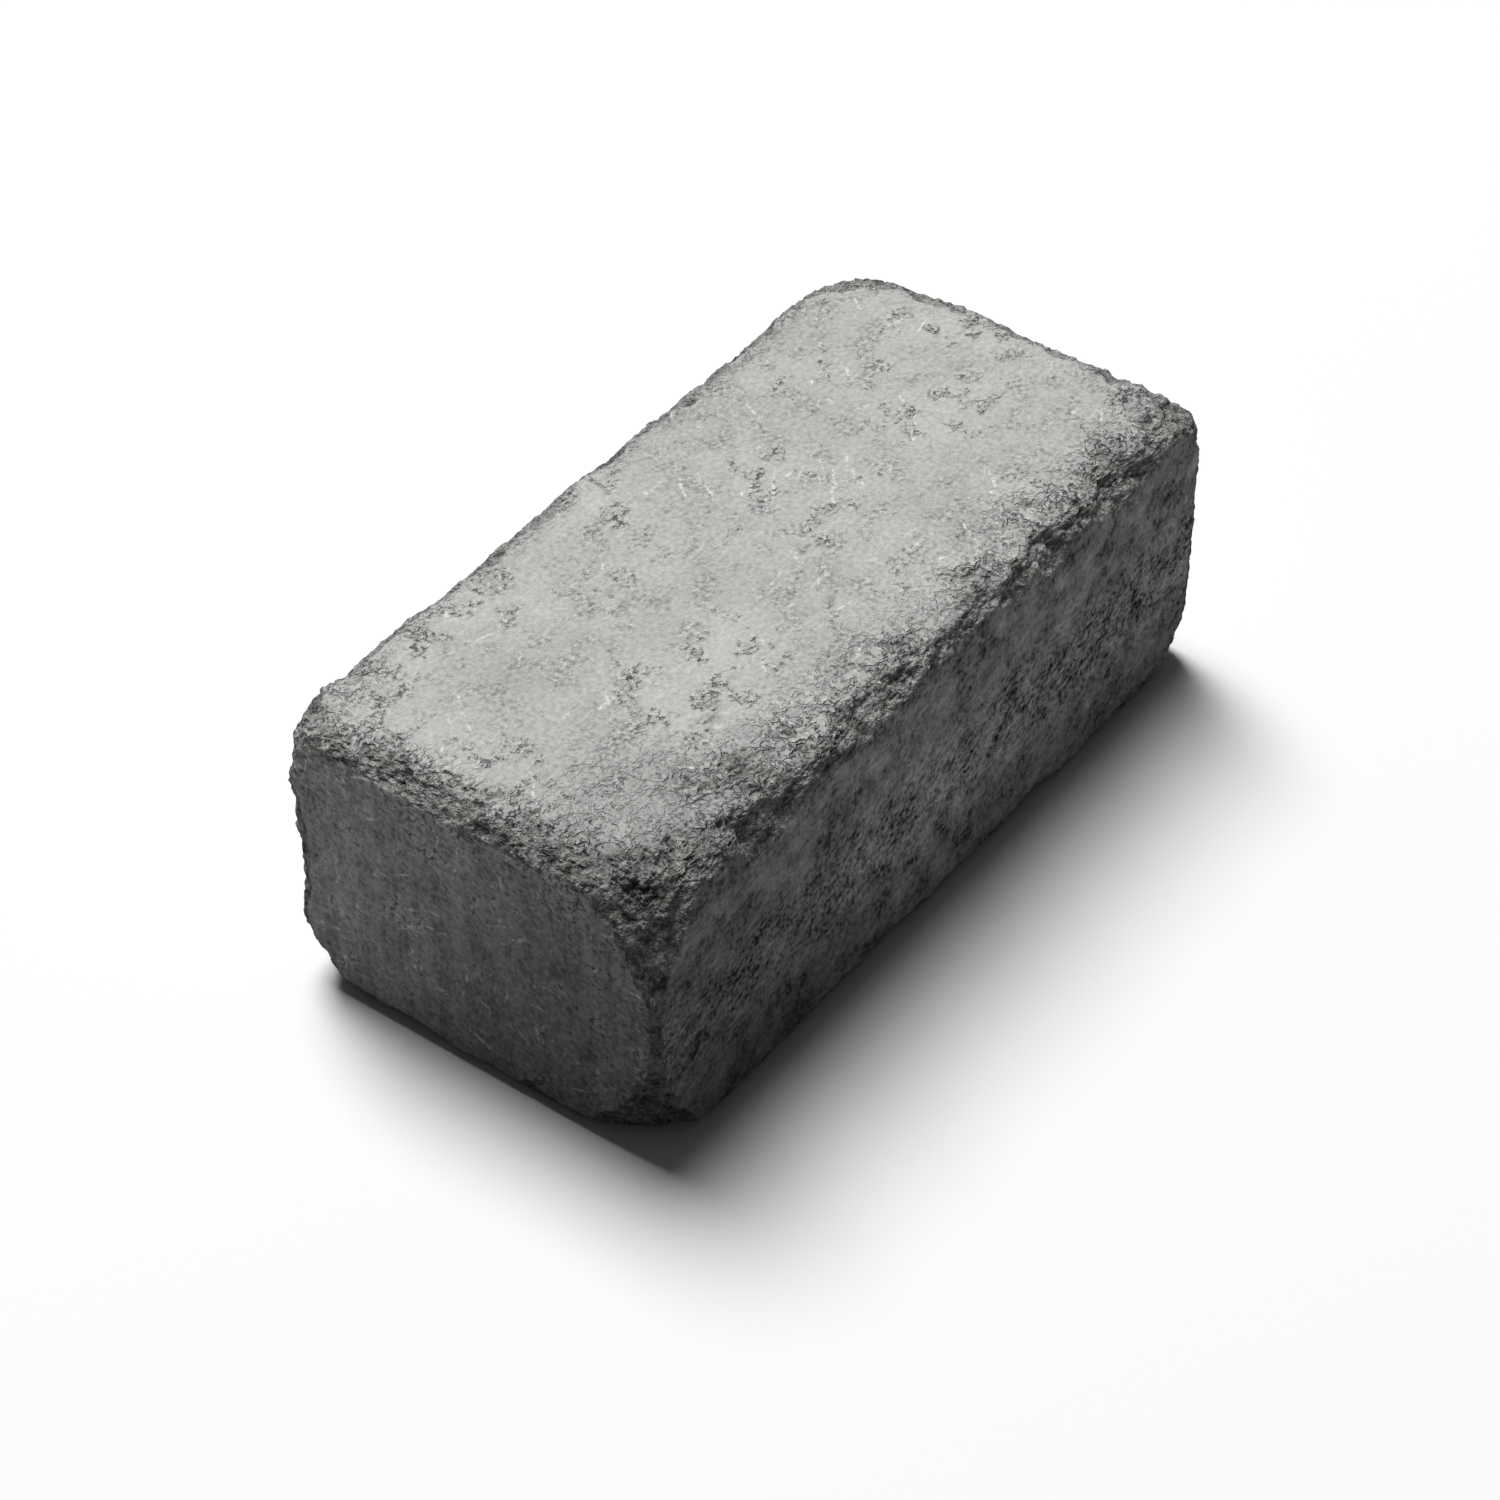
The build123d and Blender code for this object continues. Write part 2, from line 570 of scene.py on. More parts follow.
@dataclass(frozen=True)
class LongCoat:
    """Long face: rough and patchy, with a paler band half way up and many pits."""

    tone: float = 0.42
    band_low: float = 40.0 * MM
    band_high: float = 68.0 * MM
    band_edge: float = 16.0 * MM
    band_light: float = 0.06
    calm_share: float = 0.4
    back_share: float = 0.55
    back_span: tuple = (-20.0 * MM, 20.0 * MM)
    streaks: Swell = Swell(4.0 * MM, 4.0, 0.65)
    streak_turn: float = 25.0
    streak_stretch: float = 0.5
    streak_swing: float = 1.7
    streak_height: float = 2.6
    mottle_swing: float = 1.2
    mottle_height: float = 2.6
    grit_tone_and_shade: float = 2.3
    grit_height: float = 1.6
    least_pits: float = 0.2
    pit_span: tuple = (0.0, 0.08)
    # Pits are painted darker: partly dirt, partly painted shade
    pit_dirt_and_shade: float = 0.1
    pit_height: float = 1.0
    scratch_turns: tuple = (20, 75)
    scratch_length: float = 18.0 * MM
    scratch_width: float = 1.5 * MM
    scratch_share: float = 0.04
    scratch_light: float = 0.16

    def coat(self, grounds: Grounds) -> Coat:
        """Lay the coat.

        Args:
            grounds: what it reads.

        Returns:
            The look.
        """
        bench = grounds.bench
        parts = bench.node("ShaderNodeSeparateXYZ", {}, {0: grounds.bent}).outputs
        up, inward = Signal(bench, parts["Z"]), Signal(bench, parts["Y"])
        above = up.rise(self.band_low - self.band_edge, self.band_low + self.band_edge)
        band = above - up.rise(self.band_high - self.band_edge, self.band_high + self.band_edge)
        show = 1.0 - (1.0 - self.back_share) * inward.rise(*self.back_span)
        rough = (self.calm_share + (1.0 - self.calm_share) * band) * show
        stretch = (self.streak_stretch, 1.0, 1.0)
        dragged = bench.turned(grounds.place, (0, self.streak_turn, 0), stretch)
        streaks = self.streaks.read(bench, dragged)
        sunk = (0.0 - grounds.mottle).rise(*self.pit_span)
        pit = grounds.specks((self.least_pits + (1.0 - self.least_pits) * sunk) * rough)
        ways = [(0, turn, 0) for turn in self.scratch_turns]
        marks = grounds.scratches(ways, self.scratch_length, self.scratch_width, self.scratch_share)
        # Grit is darker where its relief is low: grain tone and painted shade together
        tone = (
            self.tone
            + band * self.band_light
            + grounds.mottle * self.mottle_swing
            + streaks * rough * self.streak_swing
            + grounds.grit * rough * self.grit_tone_and_shade
            + marks * self.scratch_light
            - pit * self.pit_dirt_and_shade
        )
        height = (
            grounds.mottle * self.mottle_height
            + streaks * rough * self.streak_height
            + grounds.grit * rough * self.grit_height
            - pit * self.pit_height
        )
        return Coat(tone, height)


@dataclass(frozen=True)
class EndCoat:
    """End face: close, dragged upright by the mould, with flat scratches and few pits."""

    tone: float = 0.52
    drag: Swell = Swell(5.0 * MM, 3.0, 0.6)
    drag_stretch: float = 0.05
    drag_swing: float = 0.5
    mottle_swing: float = 0.6
    mottle_height: float = 0.8
    crumb_tone_and_shade: float = 0.55
    crumb_height: float = 0.8
    grit_tone_and_shade: float = 1.0
    grit_height: float = 0.8
    pit_span: tuple = (0.06, 0.14)
    worn_pits: float = 0.5
    # Pits are painted darker: partly dirt, partly painted shade
    pit_dirt_and_shade: float = 0.2
    pit_height: float = 0.8
    scratch_turns: tuple = (-18, 22, 78)
    scratch_length: float = 45.0 * MM
    scratch_width: float = 2.0 * MM
    scratch_share: float = 0.13
    scratch_light: float = 0.55

    def coat(self, grounds: Grounds) -> Coat:
        """Lay the coat.

        Args:
            grounds: what it reads.

        Returns:
            The look.
        """
        bench = grounds.bench
        upright = bench.turned(grounds.place, (0, 0, 0), (1.0, 1.0, self.drag_stretch))
        drag = self.drag.read(bench, upright)
        pit = grounds.specks(grounds.mottle.rise(*self.pit_span) + self.worn_pits * grounds.worn)
        ways = [(turn, 0, 90) for turn in self.scratch_turns]
        marks = grounds.scratches(ways, self.scratch_length, self.scratch_width, self.scratch_share)
        # Grit and crumbs are darker where their relief is low: grain tone and painted shade together
        tone = (
            self.tone
            + drag * self.drag_swing
            + grounds.mottle * self.mottle_swing
            + grounds.crumbs * self.crumb_tone_and_shade
            + grounds.grit * self.grit_tone_and_shade
            + marks * self.scratch_light
            - pit * self.pit_dirt_and_shade
        )
        height = (
            grounds.mottle * self.mottle_height
            + grounds.crumbs * self.crumb_height
            + grounds.grit * self.grit_height
            - pit * self.pit_height
        )
        return Coat(tone, height)


@dataclass(frozen=True)
class BrokenCoat:
    """Broken concrete: sharp crumbs, pale grains and dark ones, with painted shade below its ledges and in
    the dips of its crumbs and grit.
    """

    tone: float = 0.5
    crumb_tone_and_shade: float = 0.7
    crumb_height: float = 4.0
    grit_tone_and_shade: float = 0.9
    grit_height: float = 2.2
    grain_pitch: float = 1.7 * MM
    grain_swing: float = 0.2
    grain_height: float = 0.9
    ledge_height: float = 4.0
    # Painted shade on the lower ledge steps
    ledge_hollow_shade: float = 0.2

    def coat(self, grounds: Grounds) -> Coat:
        """Lay the coat.

        Args:
            grounds: what it reads.

        Returns:
            The look.
        """
        bench = grounds.bench
        cells = {"Vector": grounds.place, "Scale": 1 / self.grain_pitch}
        grains = bench.node("ShaderNodeTexVoronoi", {}, cells)
        away = Signal(bench, grains.outputs["Distance"])
        lot = bench.signal("ShaderNodeSeparateColor", {}, {0: grains.outputs["Color"]})
        # Grit and crumbs are darker where their relief is low: grain tone and painted shade together
        tone = (
            self.tone
            + (lot - 0.5) * self.grain_swing
            + grounds.crumbs * self.crumb_tone_and_shade
            + grounds.grit * self.grit_tone_and_shade
            - (1.0 - grounds.ledges) * self.ledge_hollow_shade
        )
        height = (
            grounds.crumbs * self.crumb_height
            + grounds.grit * self.grit_height
            + (0.5 - away) * lot * self.grain_height
            + grounds.ledges * self.ledge_height
        )
        return Coat(tone, height)


@dataclass(frozen=True)
class Concrete:
    """Dry grey concrete: close and pale where cast, coarse and mixed where broken."""

    name: str = "tumbled_concrete"
    tint: tuple = (1.0, 0.998, 0.972, 1.0)
    warm_tint: tuple = (1.0, 0.975, 0.9, 1.0)
    warmth: Swell = Swell(6.0 * MM, 2.0)
    warm_span: tuple = (-0.05, 0.25)
    warm_share: float = 0.6
    pattern: Pattern = Pattern()
    end: EndCoat = EndCoat()
    long: LongCoat = LongCoat()
    bed: BedCoat = BedCoat()
    broken: BrokenCoat = BrokenCoat()
    side_span: tuple = (0.4, 0.6)
    broken_ragged: float = 0.6
    broken_span: tuple = (0.3, 0.7)
    # Painted shade: the tone darkens towards the foot of the block, where the shadowed floor sends back less
    # light
    foot_shade_height: float = 45.0 * MM
    foot_shade_dark: float = 0.3
    # Painted shade around the near lower corner, where the floor beside it lies in shadow and sends back less
    # light
    shaded_corner: tuple = (-150.0 * MM, -72.5 * MM, 0.0)
    corner_shade_start: float = 45.0 * MM
    corner_shade_reach: float = 150.0 * MM
    corner_shade_dark: float = 0.52
    # Painted shade: how much darker the hollow mark makes the tone, in the sunk broken relief and in pores
    hollow_painted_shade: float = 0.5
    least_tone: float = 0.03
    roughness: float = 0.92
    specular: float = 0.05

    def material(self) -> bpy.types.Material:
        """Make the material.

        Returns:
            The material, which reads the marks broken, hollow, worn and side of the mesh.
        """
        made = bpy.data.materials.new(self.name)
        made.use_nodes = True
        bench = Bench(made.node_tree)
        grounds = Grounds.lay(self.pattern, bench)
        shade = self._shade(grounds)
        warmth = self.warmth.read(bench, grounds.place).rise(*self.warm_span) * self.warm_share
        tints = {0: warmth, 6: self.tint, 7: self.warm_tint}
        warm = bench.node("ShaderNodeMix", {"data_type": "RGBA"}, tints)
        end, long, bed = (
            self._shader(bench, kind.coat(grounds), shade, self.tint)
            for kind in (self.end, self.long, self.bed)
        )
        rubble = self._shader(bench, self.broken.coat(grounds), shade, warm.outputs[2])
        sides = bench.node("ShaderNodeAttribute", {"attribute_name": "side"}, {}).outputs["Vector"]
        split = bench.node("ShaderNodeSeparateXYZ", {}, {0: sides})
        is_long, is_bed = (
            Signal(bench, split.outputs[side.value]).rise(*self.side_span) for side in (Side.LONG, Side.BED)
        )
        ragged = bench.mark("broken") + grounds.crumbs * self.broken_ragged
        is_broken = ragged.rise(*self.broken_span)
        look = end
        for share, other in ((is_long, long), (is_bed, bed), (is_broken, rubble)):
            look = bench.node("ShaderNodeMixShader", {}, {0: share, 1: look, 2: other}).outputs[0]
        bench.node("ShaderNodeOutputMaterial", {}, {"Surface": look})
        return made

    def _shade(self, grounds: Grounds) -> Signal:
        """Paint shade into the tone: in hollows, towards the foot of the block and around its near lower
        corner.

        Args:
            grounds: what the coats read.

        Returns:
            What every tone is multiplied by.
        """
        bench = grounds.bench
        up = bench.signal("ShaderNodeSeparateXYZ", {}, {0: grounds.place}, "Z")
        # Painted shade, darker towards the foot
        foot_shade = self.foot_shade_dark * (1.0 - up.rise(0.0, self.foot_shade_height))
        # Painted shade, darker near the near lower corner
        ends = {0: grounds.place, 1: self.shaded_corner}
        away = bench.signal("ShaderNodeVectorMath", {"operation": "DISTANCE"}, ends, "Value")
        corner_shade = self.corner_shade_dark * (1.0 - away.rise(self.corner_shade_start, self.corner_shade_reach))
        # Painted shade in hollows, towards the foot and near the near lower corner, multiplied into every
        # tone
        return (1.0 - self.hollow_painted_shade * bench.mark("hollow")) * (1.0 - foot_shade) * (1.0 - corner_shade)

    def _shader(
        self, bench: Bench, coat: Coat, shade: Signal, tint: "bpy.types.NodeSocket | tuple"
    ) -> bpy.types.NodeSocket:
        """Make the shader of one coat.

        Args:
            bench: the material's bench.
            coat: the look.
            shade: what its tone is multiplied by.
            tint: colour of a white tone.

        Returns:
            The shader.
        """
        tone = (coat.tone * shade).larger(self.least_tone)
        black = (0.0, 0.0, 0.0, 1.0)
        colour = bench.node("ShaderNodeMix", {"data_type": "RGBA"}, {0: tone, 6: black, 7: tint})
        bump = bench.node("ShaderNodeBump", {}, {"Height": coat.height, "Distance": MM, "Strength": 1.0})
        return bench.node(
            "ShaderNodeBsdfPrincipled",
            {},
            {
                "Base Color": colour.outputs[2],
                "Roughness": self.roughness,
                "Specular IOR Level": self.specular,
                "Normal": bump.outputs[0],
            },
        ).outputs[0]


@dataclass
class WallBlock:
    """The tumbled block: a fine skin that follows the solid, rough where it is broken."""

    solid: bpy.types.Object
    low: Vector
    high: Vector
    finish: Concrete
    grain: BrokenGrain = BrokenGrain()
    skin: CastSkin = CastSkin()
    name: str = "wall_block_skin"
    wander_seed: int = 7
    face_cell: float = 1.25 * MM
    arris_cell: float = 0.8 * MM
    arris_zone: float = 24.0 * MM
    core_inset: float = 26.0 * MM
    warp_pitch: float = 9.0 * MM
    warp_reach: float = 3.2 * MM
    fine_warp: float = 0.3
    fine_pitch: float = 0.4
    least_wander: float = 0.04
    bed_spread: float = 2.2 * MM
    side_spread: float = 0.7 * MM
    arris_spread: float = 2.6 * MM
    spread_reach: float = 7.0 * MM
    bed_span: tuple = (-14.0 * MM, 7.0 * MM)
    least_loss: float = 0.05 * MM
    bed_fade: float = 1.7 * MM
    side_fade: float = 0.7 * MM
    smooth_below: float = 2.0
    flake_pitch: float = 8.0 * MM
    flake_layers: int = 4
    flake_fade: float = 0.8
    flake_shrink: float = 2.1
    flake_spans: tuple = ((0.05, 0.2), (0.4, 0.55))
    flake_depth: float = 1.1 * MM
    side_flakes: float = 0.12
    cluster_pitch: float = 18.0 * MM
    cluster_span: tuple = (0.1, 0.4)
    cluster_share: float = 0.4
    patch_pitch: float = 20.0 * MM
    patch_span: tuple = (-0.5, 0.2)
    least_patch: float = 0.3
    show_start: float = 19.0 * MM
    show_reach: float = 95.0 * MM
    show_depth: float = 66.0 * MM
    show_wear: float = 0.85
    front_calm: float = 0.6
    far_calm: float = 1.7
    far_wear: float = 0.4
    low_relief: float = 0.3
    low_reach: float = 14.0 * MM
    low_spread: float = 3.0 * MM
    relief_start: float = 2.0 * MM
    worn_start: float = 6.0 * MM
    worn_reach: float = 22.0 * MM
    corner_start: float = 15.6 * MM
    corner_reach: float = 52.0 * MM
    # Relief depths over which the painted hollow shade grows on broken skin, and the share of it that pores
    # get
    hollow_span: tuple = (-0.4 * MM, 0.8 * MM)
    pore_hollow: float = 0.3
    most_triangles: int = 197_000
    map_name: str = "OFBake"
    map_gap: float = 4.0 * MM

    def build(self) -> bpy.types.Object:
        """Make the block.

        Returns:
            The finished piece.
        """
        # Without a seed, noise_vector differs from run to run
        noise.seed_set(self.wander_seed)
        mesh = bpy.data.meshes.new(self.name)
        bm = self._gridded_box()
        self._lay_map(bm)
        self._weather(bm)
        broken_mark = bm.verts.layers.float["broken"]
        for face in bm.faces:
            face.smooth = sum(vert[broken_mark] for vert in face.verts) < self.smooth_below
        bm.to_mesh(mesh)
        bm.free()
        piece = bpy.data.objects.new(self.name, mesh)
        bpy.context.scene.collection.objects.link(piece)
        self._thin(piece)
        piece.data.materials.append(self.finish.material())
        return piece

    def _gridded_box(self) -> bmesh.types.BMesh:
        """Box as cast, cut into cells that are finer near its arrises.

        Returns:
            The box.
        """
        bm = bmesh.new()
        bmesh.ops.create_cube(bm, size=1.0)
        size = self.high - self.low
        edge_cells = round(self.arris_zone / self.arris_cell)
        cells = [2 * edge_cells + round((side - 2 * self.arris_zone) / self.face_cell) for side in size]
        for axis, count in enumerate(cells):
            along = [
                edge for edge in bm.edges
                if abs(edge.verts[0].co[axis] - edge.verts[1].co[axis]) > 0.5
            ]
            bmesh.ops.subdivide_edges(bm, edges=along, cuts=count - 1, use_grid_fill=True)
        for vert in bm.verts:
            steps = [round((value + 0.5) * count) for value, count in zip(vert.co, cells)]
            vert.co = [
                self.low[axis] + self._graded(steps[axis], cells[axis], size[axis]) for axis in range(3)
            ]
        bm.normal_update()
        return bm

    def _graded(self, step: int, steps: int, side: float) -> float:
        """Distance of a cut from the start of a side.

        Args:
            step: number of the cut.
            steps: number of cells along the side.
            side: length of the side.

        Returns:
            The distance.
        """
        edge_cells = round(self.arris_zone / self.arris_cell)
        if step <= edge_cells:
            return self.arris_zone * step / edge_cells
        if step >= steps - edge_cells:
            return side - self.arris_zone * (steps - step) / edge_cells
        share = (step - edge_cells) / (steps - 2 * edge_cells)
        return self.arris_zone + (side - 2 * self.arris_zone) * share

    def _lay_map(self, bm: bmesh.types.BMesh) -> None:
        """Lay the six cast faces side by side on the bake map.

        Args:
            bm: the box as cast.
        """
        size = self.high - self.low
        gap = self.map_gap
        corners = {
            (Side.BED, 1): (gap, gap),
            (Side.BED, -1): (gap, 2 * gap + size.y),
            (Side.LONG, -1): (gap, 3 * gap + 2 * size.y),
            (Side.LONG, 1): (gap, 4 * gap + 2 * size.y + size.z),
            (Side.END, -1): (2 * gap + size.x, gap),
            (Side.END, 1): (2 * gap + size.x, 2 * gap + size.z),
        }
        width = 5 * gap + 2 * size.y + 2 * size.z
        layer = bm.loops.layers.uv.new(self.map_name)
        for face in bm.faces:
            axis = max(range(3), key=lambda n: abs(face.normal[n]))
            left, bottom = corners[Side(axis), 1 if face.normal[axis] > 0 else -1]
            across, upward = (n for n in range(3) if n != axis)
            for loop in face.loops:
                spot = loop.vert.co - self.low
                loop[layer].uv = ((left + spot[across]) / width, (bottom + spot[upward]) / width)

    def _core_point(self, spot: Vector) -> Vector:
        """Find the point of the block's core that a place on its skin grows from.

        Args:
            spot: the place.

        Returns:
            The point.
        """
        inset = self.core_inset
        return Vector(
            min(max(value, low + inset), high - inset) for value, low, high in zip(spot, self.low, self.high)
        )

    def _leave(self, core: Vector, out: Vector) -> Vector:
        """Where a line from the core leaves the block as cast.

        Args:
            core: the line's start.
            out: its direction, of length 1.

        Returns:
            The point.
        """
        limits = [high if step > 0 else low for step, low, high in zip(out, self.low, self.high)]
        ways = zip(limits, core, out)
        far = min((limit - start) / step for limit, start, step in ways if abs(step) > TINY)
        return core + out * far

    def _recess(self, tree: BVHTree, cast: Vector, side: Side, gaps: list) -> float:
        """How far the solid lies behind the block as cast, its flats worn round and its lines wandering.

        Args:
            tree: the solid's faces.
            cast: place on the block as cast.
            side: kind of face that it lies on.
            gaps: its distance from the nearer cast face along each axis.

        Returns:
            The distance along the line from the core through the place.
        """
        own = self.bed_spread if side is Side.BED else self.side_spread
        to_arris = sorted(gaps)[1]
        spread = self.arris_spread + (own - self.arris_spread) * smooth_step(0.0, self.spread_reach, to_arris)
        rough = self._low_calm(cast)
        spread += self.low_spread * (1.0 - rough)
        wander = noise.noise_vector(cast / self.warp_pitch)
        wander += self.fine_warp * noise.noise_vector(cast / (self.fine_pitch * self.warp_pitch))
        # A line wanders along an arris and hardly across it, or the arris would get a groove
        shares = [smooth_step(0.0, self.spread_reach, max(gap, to_arris)) for gap in gaps]
        moved = Vector(part * max(share, self.least_wander) for part, share in zip(wander, shares))
        spot = cast + moved * (rough * self.warp_reach)
        across = Vector([spread if n == (side.value + 1) % 3 else 0.0 for n in range(3)])
        along = Vector([spread if n == (side.value + 2) % 3 else 0.0 for n in range(3)])
        probes = (spot + across, spot - across, spot + along, spot - along)
        total = Vector()
        for near in probes:
            core = self._core_point(near)
            out = (near - core).normalized()
            hit = tree.ray_cast(core, out)[0]
            total += self._leave(core, out) if hit is None else hit
        core = self._core_point(spot)
        out = (spot - core).normalized()
        return max((self._leave(core, out) - total / len(probes)).dot(out), 0.0)

    def _low_calm(self, cast: Vector) -> float:
        """Share of the roughness that a place keeps: little at the ground, all of it further up."""
        return self.low_relief + (1.0 - self.low_relief) * smooth_step(0.0, self.low_reach, cast.z)

    def _worn(self, cast: Vector, bed: float) -> float:
        """How worn the skin is near a broken arris: in patches, most towards the end and side on show.

        Args:
            cast: place on the block as cast.
            bed: how far it belongs to a bed face.

        Returns:
            0 on sound skin, 1 on worn skin, more on the upper bed at the corner that is worn the most.
        """
        back, front = self.high - cast, cast - self.low
        calm = self.far_calm
        gaps = sorted((
            min(front.x, calm * back.x),
            min(self.front_calm * front.y, calm * back.y),
            min(calm * front.z, back.z),
        ))
        by_arris = 1.0 - smooth_step(self.worn_start, self.worn_reach, gaps[1])
        by_corner = 1.0 - smooth_step(self.corner_start, self.corner_reach, math.hypot(*gaps[1:]))
        patch = smooth_step(*self.patch_span, noise.noise(cast / self.patch_pitch))
        patch = self.least_patch + (1.0 - self.least_patch) * patch
        on_show = 1.0 - smooth_step(0.0, self.show_depth, min(front.x, front.y))
        worn = max(by_arris, by_corner) * patch * (self.far_wear + (1.0 - self.far_wear) * on_show)
        away = Vector((front.x, front.y, back.z)).length
        corner = self.show_wear * (1.0 - smooth_step(self.show_start, self.show_reach, away))
        return worn + corner * bed * patch

    def _bed_share(self, gaps: list) -> float:
        """How far a place belongs to a bed face.

        Args:
            gaps: its distance from the nearer cast face along each axis.

        Returns:
            1 on a bed face, falling past its arrises to 0 down the sides.
        """
        return smooth_step(*self.bed_span, min(gaps[:2]) - gaps[2])

    def _flaked(self, cast: Vector, bed: float, worn: float) -> float:
        """Depth of the flakes that came off the skin, in two steps with ragged edges.

        Args:
            cast: place on the block as cast.
            bed: how far it belongs to a bed face.
            worn: how worn the skin is there.

        Returns:
            The depth.
        """
        swell = noise.fractal(cast / self.flake_pitch, self.flake_fade, self.flake_shrink, self.flake_layers)
        steps = sum(smooth_step(*span, swell) for span in self.flake_spans)
        cluster = smooth_step(*self.cluster_span, noise.noise(cast / self.cluster_pitch))
        by_wear = min(worn, 1.0) * (self.side_flakes + (1.0 - self.side_flakes) * bed)
        share = max(by_wear, self.cluster_share * cluster * bed)
        return self.flake_depth * share * steps

    def _weather(self, bm: bmesh.types.BMesh) -> None:
        """Set the skin back to the solid, roughen it and mark where it is broken.

        Args:
            bm: the box as cast.
        """
        shape = bmesh.new()
        shape.from_mesh(self.solid.data)
        tree = BVHTree.FromBMesh(shape, epsilon=1e-6)
        shape.free()
        broken_mark = bm.verts.layers.float.new("broken")
        hollow_mark = bm.verts.layers.float.new("hollow")
        worn_mark = bm.verts.layers.float.new("worn")
        side_mark = bm.verts.layers.float_vector.new("side")
        for vert in bm.verts:
            cast = vert.co.copy()
            gaps = [min(value - low, high - value) for value, low, high in zip(cast, self.low, self.high)]
            axis = min(range(3), key=lambda n: gaps[n])
            side = Side(axis)
            recess = self._recess(tree, cast, side, gaps)
            bed = self._bed_share(gaps)
            worn = self._worn(cast, bed)
            lost = recess + self._flaked(cast, bed, worn)
            fade = self.side_fade + (self.bed_fade - self.side_fade) * bed
            broken = smooth_step(self.least_loss, fade, lost)
            core = self._core_point(cast)
            reach = (cast - core).length
            out = (cast - core) / reach
            spot = core + out * (reach - recess)
            grown = self._low_calm(cast) * smooth_step(0.0, self.relief_start, lost)
            relief = grown * self.grain.depth(spot) if broken > 0.0 else 0.0
            pore = self.skin.pore(spot, side, worn)
            depth = lost + broken * relief + (1.0 - broken) * self.skin.depth(spot, pore)
            vert[broken_mark] = broken
            # The hollow mark places painted shade: in the sunk parts of the broken relief and, less, in pores
            sunk = smooth_step(*self.hollow_span, relief)
            vert[hollow_mark] = broken * sunk + (1.0 - broken) * self.pore_hollow * pore
            vert[worn_mark] = worn
            vert[side_mark] = [1.0 if n == axis else 0.0 for n in range(3)]
            vert.co = core + out * (reach - max(depth, 0.0))

    def _thin(self, piece: bpy.types.Object) -> None:
        """Join cells where the skin is nearly flat, down to the number of triangles that it may have.

        Args:
            piece: the block.
        """
        triangles = sum(len(face.vertices) - 2 for face in piece.data.polygons)
        thinner = piece.modifiers.new("thin", "DECIMATE")
        thinner.ratio = min(self.most_triangles / triangles, 1.0)
        full = piece.data
        piece.data = bpy.data.meshes.new_from_object(
            piece.evaluated_get(bpy.context.evaluated_depsgraph_get())
        )
        piece.modifiers.clear()
        bpy.data.meshes.remove(full)
        piece.data.name = self.name


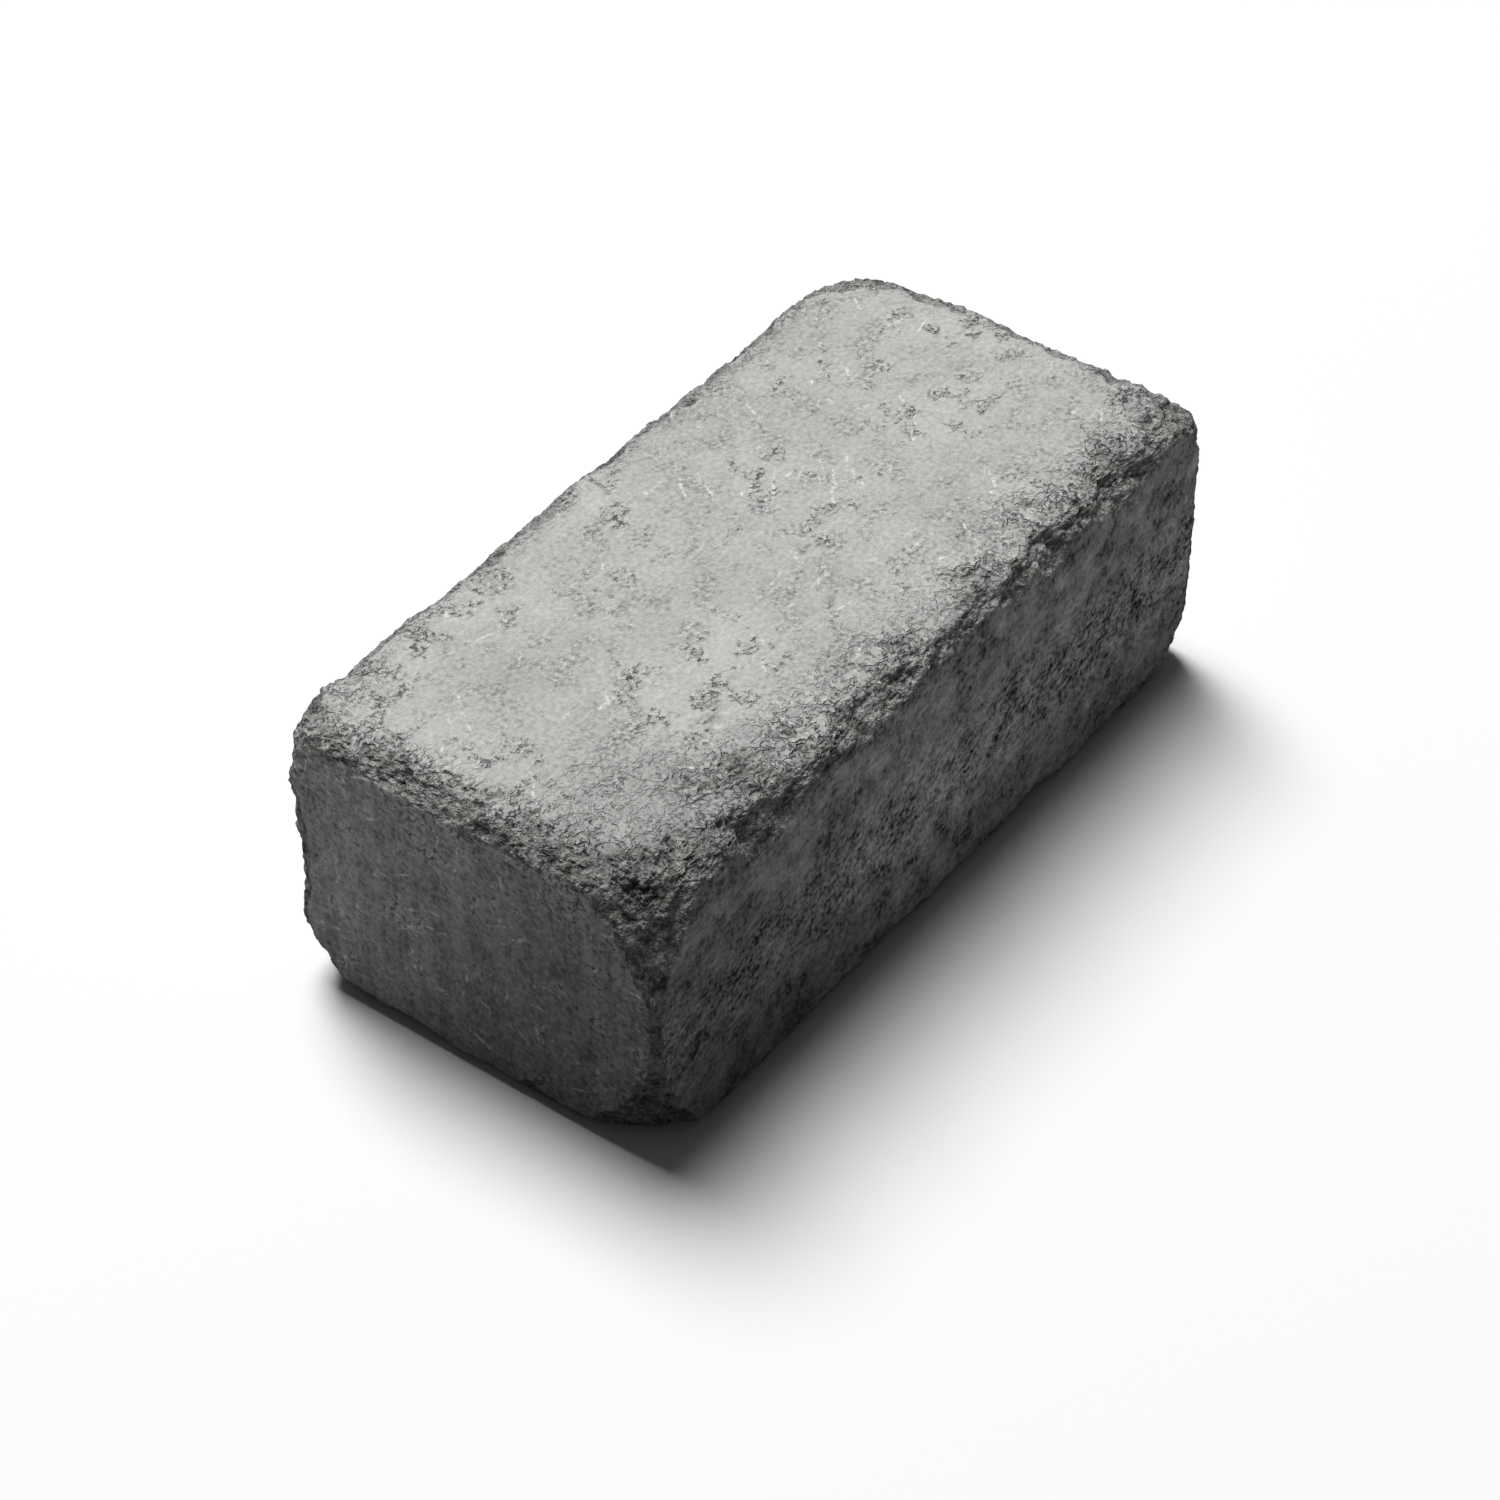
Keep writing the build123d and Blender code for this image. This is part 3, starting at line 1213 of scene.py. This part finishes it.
@dataclass
class Studio:
    """White floor under a broad soft lamp that stands behind the block."""

    floor_half: float = 4.0
    floor_level: float = -0.1 * MM
    floor_white: tuple = (0.99, 0.99, 0.99, 1.0)
    floor_bounce: tuple = (0.33, 0.33, 0.33, 1.0)
    lamp_azimuth: float = 66.2
    lamp_height: float = 67.9
    lamp_wide: float = 21.6
    lamp_tall: float = 42.4
    lamp_distance: float = 10.0
    # Watts that light a white surface one metre off, square to the lamp, to plain white
    lamp_watts: float = 10.78
    sky_share: float = 0.05

    def build(self) -> bpy.types.Object:
        """Set up the floor, the lamp and the sky.

        Returns:
            The floor.
        """
        self._sky()
        self._lamp()
        return self._floor()

    def _shown(self, bench: Bench) -> Signal:
        """Tell what the camera sees from what only lights.

        Args:
            bench: bench of the material or of the world.

        Returns:
            1 for what is seen straight, in a gloss or through a glass, 0 for the rest.
        """
        rays = bench.node("ShaderNodeLightPath", {}, {}).outputs
        straight, gloss, through = (
            Signal(bench, rays[name])
            for name in ("Is Camera Ray", "Is Glossy Ray", "Is Transmission Ray")
        )
        return straight.larger(gloss).larger(through)

    def _floor(self) -> bpy.types.Object:
        """Make the floor.

        Returns:
            The floor.
        """
        mesh = bpy.data.meshes.new("floor")
        bm = bmesh.new()
        bmesh.ops.create_grid(bm, x_segments=1, y_segments=1, size=self.floor_half)
        bmesh.ops.translate(bm, verts=bm.verts, vec=(0, 0, self.floor_level))
        bm.to_mesh(mesh)
        bm.free()
        floor = bpy.data.objects.new("floor", mesh)
        bpy.context.scene.collection.objects.link(floor)
        paper = bpy.data.materials.new("floor_paper")
        paper.use_nodes = True
        bench = Bench(paper.node_tree)
        colour = bench.node(
            "ShaderNodeMix",
            {"data_type": "RGBA"},
            {0: self._shown(bench), 6: self.floor_bounce, 7: self.floor_white},
        )
        matt = bench.node("ShaderNodeBsdfDiffuse", {}, {"Color": colour.outputs[2]})
        bench.node("ShaderNodeOutputMaterial", {}, {"Surface": matt.outputs[0]})
        mesh.materials.append(paper)
        return floor

    def _lamp(self) -> None:
        """Hang the lamp, as strong as makes a white level surface white."""
        azimuth = math.radians(self.lamp_azimuth)
        height = math.radians(self.lamp_height)
        to_lamp = Vector(
            (math.cos(height) * math.cos(azimuth), math.cos(height) * math.sin(azimuth), math.sin(height))
        )
        data = bpy.data.lights.new("soft_lamp", "AREA")
        data.shape = "ELLIPSE"
        data.size = 2 * self.lamp_distance * math.tan(math.radians(self.lamp_wide / 2))
        data.size_y = 2 * self.lamp_distance * math.tan(math.radians(self.lamp_tall / 2))
        data.energy = self.lamp_watts * self.lamp_distance**2 * (1.0 - self.sky_share) / to_lamp.z
        lamp = bpy.data.objects.new("soft_lamp", data)
        bpy.context.scene.collection.objects.link(lamp)
        lamp.location = to_lamp * self.lamp_distance
        lamp.rotation_euler = to_lamp.to_track_quat("Z", "Y").to_euler()

    def _sky(self) -> None:
        """Light everything evenly a little, behind a white backdrop."""
        world = bpy.data.worlds.new("studio")
        world.use_nodes = True
        bpy.context.scene.world = world
        bench = Bench(world.node_tree)
        strength = self._shown(bench) * (1.0 - self.sky_share) + self.sky_share
        backdrop = bench.node("ShaderNodeBackground", {}, {"Color": (1, 1, 1, 1), "Strength": strength})
        bench.node("ShaderNodeOutputWorld", {}, {"Surface": backdrop.outputs[0]})


@dataclass
class Camera:
    """Camera that stands where the photograph was taken from."""

    place: tuple = (-813.77 * MM, -613.09 * MM, 958.31 * MM)
    azimuth: float = -52.763
    elevation: float = 42.475
    roll: float = -0.722
    lens: float = 100.0
    sensor: float = 36.0

    def build(self) -> bpy.types.Object:
        """Set up the camera.

        Returns:
            The camera.
        """
        data = bpy.data.cameras.new("camera")
        data.lens = self.lens
        data.sensor_width = self.sensor
        camera = bpy.data.objects.new("camera", data)
        bpy.context.scene.collection.objects.link(camera)
        camera.matrix_world = (
            Matrix.Translation(self.place)
            @ Matrix.Rotation(math.radians(self.azimuth), 4, "Z")
            @ Matrix.Rotation(math.radians(90.0 - self.elevation), 4, "X")
            @ Matrix.Rotation(math.radians(self.roll), 4, "Z")
        )
        bpy.context.scene.camera = camera
        return camera


def main() -> None:
    """Build the scene piece by piece."""
    logging.basicConfig(level=logging.INFO, format="%(name)s: %(message)s")
    bpy.context.scene.view_settings.view_transform = "Standard"
    low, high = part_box("wall_block")
    block = WallBlock(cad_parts["wall_block"], low, high, Concrete()).build()
    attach(block, "root")
    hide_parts("wall_block")
    log.info("%s: %d faces", block.name, len(block.data.polygons))
    floor = Studio().build()
    log.info("%s: %.1f m square", floor.name, floor.dimensions.x)
    camera = Camera().build()
    log.info("%s: %.0f mm lens", camera.name, camera.data.lens)


if __name__ == "__main__":
    main()
